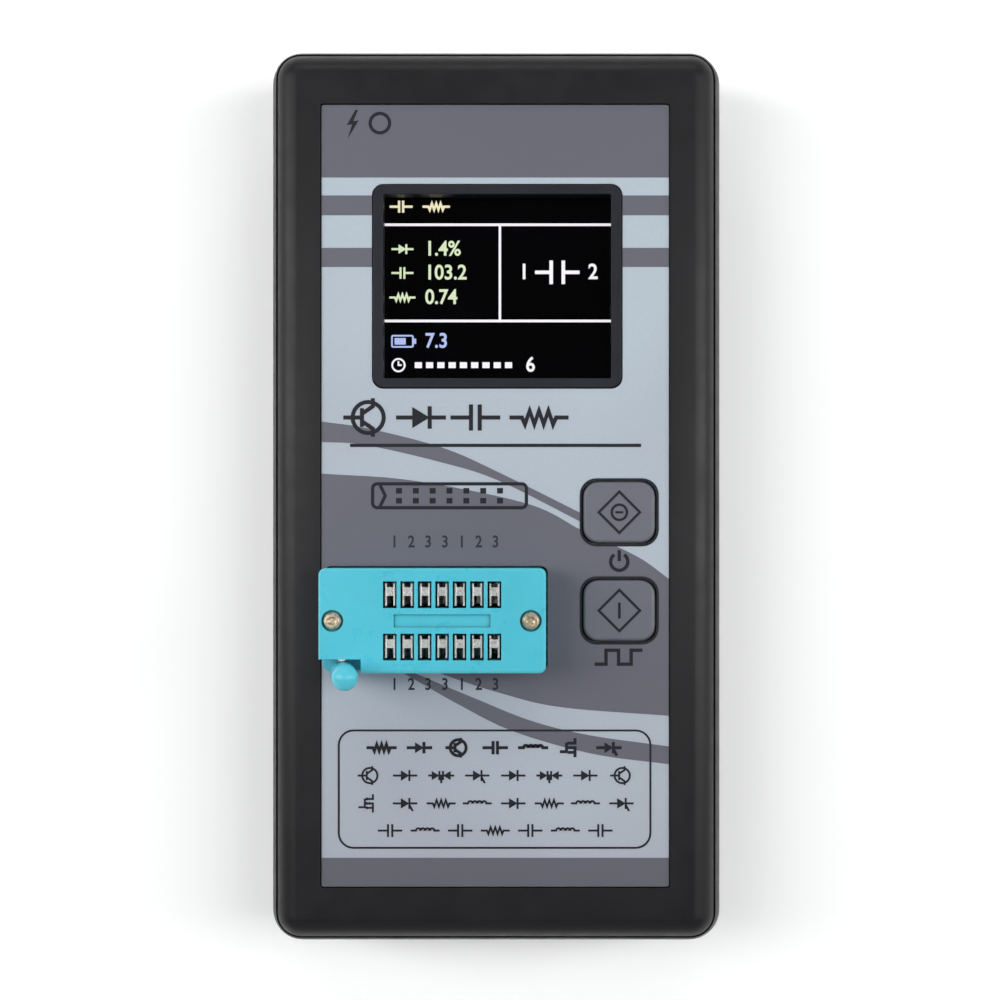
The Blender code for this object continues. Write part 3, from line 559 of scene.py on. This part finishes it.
def field_transistor():
    gate = [[(-0.7, -0.25), (-0.28, -0.25)], [(-0.28, -0.32), (-0.28, 0.32)]]
    channel = [[(-0.15, y - 0.09), (-0.15, y + 0.09)] for y in (-0.29, 0, 0.29)]
    drain = [(-0.15, 0.29), (0.25, 0.29), (0.25, 0.6)]
    source = [(-0.15, -0.29), (0.25, -0.29), (0.25, -0.6)]
    body = [(-0.1, 0), (0.25, 0), (0.25, -0.29)]
    return [*gate, *channel, drain, source, body], [[(-0.14, 0), (0.06, 0.12), (0.06, -0.12)]]


def thyristor():
    strokes, fills = diode()
    return [*strokes, [(0.28, -0.1), (0.5, -0.5)]], fills


def inductor():
    humps = []
    for i in range(4):
        humps += arc((-0.45 + 0.3 * i, 0), 0.15, 180, 0)
    return [[(-0.95, 0), *humps, (0.95, 0)]], []


def draw(art, symbol, x, y, size, weight):
    """Places a symbol, size millimetres high, on an artwork. A ring's stroke ends where it began."""
    strokes, fills = symbol
    for stroke in strokes:
        closed = (Vector(stroke[0]) - Vector(stroke[-1])).length < NO_LENGTH
        art.stroke([(x + size * px, y + size * py) for px, py in stroke], weight, closed)
    for fill in fills:
        art.fill([(x + size * px, y + size * py) for px, py in fill])


# ---------------------------------------------------------------- panel print


FILM_LOW, FILM_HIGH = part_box("overlay_panel")
FILM_TOP = FILM_HIGH.z
LEFT = FILM_LOW.x * 1000
RIGHT = FILM_HIGH.x * 1000
BOTTOM = FILM_LOW.y * 1000
TOP = FILM_HIGH.y * 1000

# Grey artwork that reaches the film's edge is drawn this far past it, then cut
BLEED_MM = 0.5
SWEEP_STEPS = 40
# Horizontal grey bands, as (low, high) in Y
BANDS_MM = ((48.0, TOP), (42.3, 45.3), (34.5, 37.4), (BOTTOM, -54.6))
# Sweeping grey shapes, each an upper and a lower edge running left to right
SWEEPS_MM = (
    (
        ((LEFT, 11.2), (-18.9, 10.1), (-7.8, 7.2), (0.7, 3.45), (13.2, -2.75)),
        ((LEFT, 8.1), (-19.6, 7.65), (-7.8, 4.95), (0.7, 2.2), (13.2, -4.1)),
    ),
    (
        ((LEFT, 3.35), (-12.4, 2.3), (4.9, -1.2), (13.2, -5.3), (21.5, -9.2), (RIGHT, -12.55)),
        ((LEFT, -19.9), (-17.0, -23.2), (-8.0, -26.9), (0.7, -29.75), (9.9, -31.9), (RIGHT, -33.2)),
    ),
    (
        ((-12.5, -26.6), (-8.25, -28.4), (-3.2, -30.5), (5.3, -33.9), (14.1, -36.1), (RIGHT, -37.8)),
        ((-14.5, -26.4), (-10.1, -28.9), (-5.5, -31.5), (2.6, -35.5), (14.5, -38.9), (RIGHT, -40.5)),
    ),
)


def print_area():
    """The film's own outline with its openings, lifted so that only a skin stands above the film."""
    film = NODES["overlay_panel"]
    mesh = film.data.copy()
    item = bpy.data.objects.new("print_area", mesh)
    bpy.context.scene.collection.objects.link(item)
    item.location = (0, 0, mm(INK_LIFT_MM))
    weld = item.modifiers.new("weld", "WELD")
    weld.merge_threshold = mm(WELD_MM)
    return item


def resampled(line, count):
    """The line's points spread evenly over its width in X."""
    low, high = line[0][0], line[-1][0]
    points = []
    index = 0
    for step in range(count + 1):
        x = low + (high - low) * step / count
        while index < len(line) - 2 and line[index + 1][0] < x:
            index += 1
        (x0, y0), (x1, y1) = line[index], line[index + 1]
        share = (x - x0) / (x1 - x0)
        points.append((x, y0 + (y1 - y0) * min(1, max(0, share))))
    return points


def make_bands_and_sweeps():
    """Grey artwork, cut by the film's own outline and openings."""
    area = print_area()
    shapes = []
    for number, (low, high) in enumerate(BANDS_MM, 1):
        art = Artwork(f"band_{number}", grey_ink, GREY_LEVEL, FILM_TOP, "printed_film")
        past_low = BLEED_MM if low == BOTTOM else 0
        past_high = BLEED_MM if high == TOP else 0
        art.box(LEFT - BLEED_MM, RIGHT + BLEED_MM, low - past_low, high + past_high)
        shapes.append(art)
    for number, (upper, lower) in enumerate(SWEEPS_MM, 1):
        art = Artwork(f"sweep_{number}", grey_ink, GREY_LEVEL, FILM_TOP, "printed_film")
        edges = [resampled(smooth_line(edge), SWEEP_STEPS) for edge in (upper, lower)]
        art.strip(*edges)
        shapes.append(art)
    for art in shapes:
        item = art.finish()
        item.modifiers["ink"].thickness = mm((GREY_LEVEL + 1) * INK_LIFT_MM)
        clip = item.modifiers.new("clip", "BOOLEAN")
        clip.operation = "INTERSECT"
        clip.object = area
        apply_modifiers(item)
    bpy.data.objects.remove(area)


def apply_modifiers(item):
    bpy.context.view_layer.update()
    graph = bpy.context.evaluated_depsgraph_get()
    mesh = bpy.data.meshes.new_from_object(item.evaluated_get(graph))
    item.modifiers.clear()
    mesh.shade_flat()
    item.data = mesh


KEY_X = 18.7
KEY_YS = {"off": -2.5, "test": -17.3}
KEY_HOLE_MM = (11.3, 9.65)
KEY_HOLE_RADIUS = 2.2
KEY_RING_MM = 0.32
LABEL_LINE_MM = 0.52

# The heading: a row of symbols over a line
HEADING_Y = 11.8
HEADING_HEIGHT = 4.7
HEADING_WEIGHT = 0.62
HEADING = ((transistor, -19.4), (diode, -11.2), (capacitor, -3.0), (resistor, 6.6))
# The outlined box of symbols near the lower end
INFO_CENTRE = (-0.1, -44.25)
INFO_SIZE = (47.0, 17.7)
INFO_RADIUS = 2.2
THIN_LINE_MM = 0.3
MARK_LINE_MM = 0.5
PINS_PER_ROW = 7
PIN_PITCH_MM = 2.54
FIRST_PIN_X = -15.2
NUMBER_YS = (-7.0, -28.5)
PIN_LABELS = "1233123"


def make_panel_lines():
    """The dark lines and marks on the film, apart from the symbols in the outlined box."""
    art = Artwork("panel_lines", line_ink, LINE_LEVEL, FILM_TOP, "printed_film")
    art.box(-21.9, 22.0, 7.35, 7.85)
    for symbol, x in HEADING:
        draw(art, symbol(), x, HEADING_Y, HEADING_HEIGHT, HEADING_WEIGHT)
    art.stroke(rounded_outline(INFO_CENTRE, INFO_SIZE, INFO_RADIUS), THIN_LINE_MM, closed=True)
    draw_charging_mark(art)
    draw_socket_mark(art)
    draw_key_rings(art)
    draw_key_labels(art)
    art.finish()


def draw_charging_mark(art):
    """At the top left: a bolt and a ring."""
    left_side = [(-21.1, 58.2), (-22.4, 55.9), (-21.6, 56.0), (-22.3, 53.8)]
    right_side = [(-20.6, 56.6), (-21.4, 56.5), (-20.7, 58.2)]
    art.fill(left_side + right_side)
    art.stroke(arc((-17.4, 56.2), 1.47), MARK_LINE_MM, closed=True)


def draw_socket_mark(art):
    """Above the socket: its pictogram, an outline with two rows of holes and a lever."""
    centre = (-6.9, 0.0)
    art.stroke(rounded_outline(centre, (23.2, 3.6), 0.7), MARK_LINE_MM, closed=True)
    for row in (-0.75, 0.75):
        for index in range(PINS_PER_ROW):
            x = centre[0] + (index - (PINS_PER_ROW - 1) / 2) * PIN_PITCH_MM
            art.box(x - 0.45, x + 0.45, row - 0.42, row + 0.42)
    art.stroke(((-17.5, 1.9), (-16.6, 0.0), (-17.5, -1.9)), MARK_LINE_MM)


def draw_key_rings(art):
    """A line printed round each key's hole."""
    size = [side + KEY_RING_MM for side in KEY_HOLE_MM]
    for y in KEY_YS.values():
        ring = rounded_outline((KEY_X, y), size, KEY_HOLE_RADIUS + KEY_RING_MM / 2)
        art.stroke(ring, KEY_RING_MM, closed=True)


def draw_key_labels(art):
    """Below the keys: a power mark and a pulse."""
    power_y = -9.95
    half = LABEL_LINE_MM / 2
    art.stroke(arc((KEY_X, power_y), 1.3, 125, 415), LABEL_LINE_MM)
    art.box(KEY_X - half, KEY_X + half, power_y + 0.1, power_y + 1.75)
    x, y = 18.6, -24.4
    low, high = -1.0, 1.1
    pulse = []
    for px, first, second in ((-3.6, low, low), (-1.9, low, high), (0.0, high, low), (1.9, low, high)):
        pulse += [(x + px, y + first), (x + px, y + second)]
    art.stroke([*pulse[1:], (x + 3.6, y + high)], LABEL_LINE_MM)


def make_info_symbols():
    """Four rows of symbols for the parts the tester knows, in the outlined box."""
    art = Artwork("info_symbols", line_ink, LINE_LEVEL, FILM_TOP, "printed_film")
    every_kind = (resistor, diode, transistor, capacitor, inductor, field_transistor, thyristor)
    junctions = (transistor, diode, double_diode, thyristor, diode, double_diode, diode, transistor)
    mixed = (field_transistor, thyristor, resistor, inductor, diode, resistor, inductor, thyristor)
    passives = (capacitor, inductor, capacitor, resistor, capacitor, inductor, capacitor)
    rows = (
        (-38.0, 2.4, 0.46, 40.0, every_kind),
        (-42.2, 2.3, THIN_LINE_MM, 43.5, junctions),
        (-46.4, 2.3, THIN_LINE_MM, 43.5, mixed),
        (-50.5, 2.3, THIN_LINE_MM, 37.0, passives),
    )
    for y, size, weight, spread, symbols in rows:
        for index, symbol in enumerate(symbols):
            x = -spread / 2 + spread * (index + 0.5) / len(symbols)
            draw(art, symbol(), x, y, size, weight)
    art.finish()


def make_pin_numbers():
    """A number over and under each pair of contacts."""
    for row, y in enumerate(NUMBER_YS, 1):
        for index, label in enumerate(PIN_LABELS):
            place = (FIRST_PIN_X + PIN_PITCH_MM * index, y)
            name = f"pin_number_{row}_{index + 1}"
            numeral(name, label, place, 1.75, number_ink, FILM_TOP, 0.85)


# ---------------------------------------------------------------- keys


DIAMOND_MM = 3.1
KEY_LINE_MM = 0.38


def make_key_marks():
    """A diamond on each key, round a mark of its own."""
    for name, inner in (("off", off_mark), ("test", test_mark)):
        y = KEY_YS[name]
        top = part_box(f"key_{name}")[1].z
        art = Artwork(f"key_{name}_mark", line_ink, LINE_LEVEL, top, "key_rubber")
        corners = ((-1, 0), (0, 1), (1, 0), (0, -1))
        diamond = [(KEY_X + DIAMOND_MM * cx, y + DIAMOND_MM * cy) for cx, cy in corners]
        art.stroke(diamond, KEY_LINE_MM, closed=True)
        inner(art, KEY_X, y)
        art.finish(f"{name}_key")


def off_mark(art, x, y):
    art.stroke(arc((x, y), 1.15), KEY_LINE_MM, closed=True)
    art.box(x - 0.6, x + 0.6, y - 0.17, y + 0.17)


def test_mark(art, x, y):
    art.box(x - 0.2, x + 0.2, y - 1.2, y + 1.2)


# ---------------------------------------------------------------- display


GLASS_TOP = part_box("lcd_glass")[1].z
# The picture lies deeper than the film, so what should line up with the film is drawn this much larger
DEPTH_SCALE = (CAMERA_DISTANCE + FILM_TOP - GLASS_TOP) / CAMERA_DISTANCE
PICTURE_LEFT = -17.3
PICTURE_RIGHT = 17.9
RULE_YS = (26.36, 40.87)
DIVIDER_X = 0.7
ICON_X = -14.0
VALUE_X = -10.6
BATTERY_Y = 23.3
TIMER_Y = 19.7
DIGIT_MM = 2.2


def spot(x, y):
    """From where a point shows on the film's plane to where it lies on the deeper glass."""
    middle_x, middle_y = CAMERA_X * 1000, CAMERA_Y * 1000
    return middle_x + (x - middle_x) * DEPTH_SCALE, middle_y + (y - middle_y) * DEPTH_SCALE


def picture_layer(name, pixels):
    return Artwork(name, pixels, LINE_LEVEL, GLASS_TOP, "display_glass")


def picture_number(name, value, x, y, pixels, height=DIGIT_MM):
    place = spot(x, y)
    numeral(name, value, place, height, pixels, GLASS_TOP, 0.92, align="LEFT")


def make_picture_frame(pixels):
    """The rules across the picture and the capacitor between its two terminals."""
    lines = picture_layer("picture_lines", pixels)
    left, right = spot(PICTURE_LEFT, 0)[0], spot(PICTURE_RIGHT, 0)[0]
    low, high = (spot(0, y)[1] for y in RULE_YS)
    for level in (high, low):
        lines.box(left, right, level - 0.2, level + 0.2)
    x = spot(DIVIDER_X, 0)[0]
    lines.box(x - 0.19, x + 0.19, low, high)
    x, y = spot(9.35, 33.7)
    for side in (-1, 1):
        lines.box(*sorted((x + side * 1.0, x + side * 3.4)), y - 0.27, y + 0.27)
        lines.box(*sorted((x + side * 0.65, x + side * 1.2)), y - 1.8, y + 1.8)
    lines.finish()
    picture_number("picture_terminal_1", "1", 3.6, 33.7, pixels, 2.3)
    picture_number("picture_terminal_2", "2", 14.0, 33.7, pixels, 2.3)


def make_picture_header(pixels):
    header = picture_layer("picture_header", pixels)
    for symbol, x in ((capacitor, -14.2), (resistor, -8.9)):
        draw(header, symbol(), *spot(x, 43.6), 2.2, 0.36)
    header.finish()


def make_picture_values(pixels):
    """Three measured values, each after a symbol."""
    rows = ((diode, "1.4%", 37.2), (capacitor, "103.2", 33.6), (resistor, "0.74", 29.9))
    for number, (_, value, y) in enumerate(rows, 1):
        picture_number(f"picture_value_{number}", value, VALUE_X, y, pixels)
    marks = picture_layer("picture_value_marks", pixels)
    for symbol, _, y in rows:
        draw(marks, symbol(), *spot(ICON_X, y), 2.1, 0.32)
    marks.finish()


def make_picture_battery(pixels):
    battery = picture_layer("picture_battery", pixels)
    x, y = spot(ICON_X, BATTERY_Y)
    battery.stroke(rounded_outline((x, y), (3.2, 1.7), 0.2), 0.26, closed=True)
    battery.box(x - 1.2, x + 0.5, y - 0.5, y + 0.5)
    battery.box(x + 1.7, x + 2.1, y - 0.4, y + 0.4)
    battery.finish()
    picture_number("picture_battery_level", "7.3", VALUE_X, BATTERY_Y, pixels)


def make_picture_timer(pixels):
    """A clock, a row of blocks for the time left, and the seconds."""
    timer = picture_layer("picture_timer", pixels)
    x, y = spot(-14.6, TIMER_Y)
    timer.stroke(arc((x, y), 0.95), 0.28, closed=True)
    timer.stroke(((x, y + 0.6), (x, y), (x + 0.5, y)), 0.26)
    for index in range(9):
        x, y = spot(-11.6 + 1.7 * index, TIMER_Y)
        timer.box(x - 0.55, x + 0.55, y - 0.45, y + 0.45)
    timer.finish()
    picture_number("picture_timer_value", "6", 4.6, TIMER_Y, pixels)


def make_display_picture():
    """The picture on the display: measured values, a schematic, a battery reading and a timer."""
    white = glowing("pixels_white", (0.93, 0.90, 0.95), 1.1)
    green = glowing("pixels_green", (0.72, 0.84, 0.56), 1.0)
    yellow = glowing("pixels_yellow", (0.94, 0.86, 0.58), 1.0)
    blue = glowing("pixels_blue", (0.46, 0.56, 0.95), 1.0)
    make_picture_frame(white)
    make_picture_header(yellow)
    make_picture_values(green)
    make_picture_battery(blue)
    make_picture_timer(white)


# ---------------------------------------------------------------- stage


FLOOR_SIZE = 14.0
NEAR_GLOW = 0.16
FAR_GLOW = 0.80
CEILING_GLOW = 0.09


def make_stage():
    """A pale floor that takes over the walls' brightness away from the object."""
    bpy.ops.mesh.primitive_plane_add(size=FLOOR_SIZE, location=(0, 0, -0.0002))
    floor = bpy.context.object
    floor.name = "studio_floor"
    paper = Shader("floor_paper", (0.92, 0.92, 0.92), 0.85)
    paper.principled.inputs["Emission Color"].default_value = (1.0, 1.0, 1.0, 1.0)
    tone = paper.noise(3.0)
    paper.drive("Base Color", paper.blend(tone, (0.90, 0.90, 0.90), (0.94, 0.94, 0.94)))
    away = paper.node("ShaderNodeVectorMath", {0: paper.place}, operation="LENGTH").outputs["Value"]
    paper.drive("Emission Strength", paper.remap(away, NEAR_GLOW, FAR_GLOW, 0.35, 1.3))
    floor.data.materials.append(paper.material)
    floor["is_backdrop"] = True


def add_light(name, location, target, size, power, colour=(1, 1, 1)):
    data = bpy.data.lights.new(name, "AREA")
    data.shape = "RECTANGLE"
    data.size, data.size_y = size
    data.energy = power
    data.color = colour
    light = bpy.data.objects.new(name, data)
    light.location = location
    light.rotation_euler = (Vector(target) - Vector(location)).to_track_quat("-Z", "Y").to_euler()
    bpy.context.scene.collection.objects.link(light)


def make_lights():
    middle = (0, 0, 0.02)
    add_light("left_softbox", (-0.46, 0.08, 0.50), middle, (0.26, 0.75), 3.1)
    add_light("right_softbox", (0.46, 0.04, 0.50), middle, (0.26, 0.75), 3.1)
    add_light("top_softbox", (0.0, 0.66, 0.50), middle, (0.7, 0.26), 1.4)
    add_light("front_fill", (0.0, -0.70, 0.55), middle, (0.8, 0.30), 0.4)


def make_walls():
    """The room round the stage: pale walls under a dark ceiling."""
    world = bpy.data.worlds.new("studio")
    bpy.context.scene.world = world
    world.use_nodes = True
    tree = world.node_tree
    background = tree.nodes["Background"]
    background.inputs["Color"].default_value = (0.95, 0.97, 1.0, 1.0)
    direction = tree.nodes.new("ShaderNodeTexCoord").outputs["Generated"]
    parts = tree.nodes.new("ShaderNodeSeparateXYZ")
    tree.links.new(direction, parts.inputs["Vector"])
    fade = tree.nodes.new("ShaderNodeMapRange")
    tree.links.new(parts.outputs["Z"], fade.inputs["Value"])
    fade.inputs["From Min"].default_value = 0.12
    fade.inputs["From Max"].default_value = 0.38
    fade.inputs["To Min"].default_value = FAR_GLOW
    fade.inputs["To Max"].default_value = CEILING_GLOW
    tree.links.new(fade.outputs["Result"], background.inputs["Strength"])


def make_camera():
    data = bpy.data.cameras.new("view")
    data.lens = LENS_MM
    data.sensor_width = 36
    data.shift_x = SHIFT_X
    data.shift_y = SHIFT_Y
    data.clip_start = 0.01
    camera = bpy.data.objects.new("view", data)
    camera.location = (CAMERA_X, CAMERA_Y, FILM_TOP + CAMERA_DISTANCE)
    bpy.context.scene.collection.objects.link(camera)
    bpy.context.scene.camera = camera


dress_cad_nodes()
make_bands_and_sweeps()
make_panel_lines()
make_info_symbols()
make_pin_numbers()
make_key_marks()
make_display_picture()
make_stage()
make_lights()
make_walls()
make_camera()
bpy.context.scene.view_settings.view_transform = "Standard"

boxes = {"cad": CAD_BOX, "visual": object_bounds()}
boxes = {name: [list(corner) for corner in box] for name, box in boxes.items()}
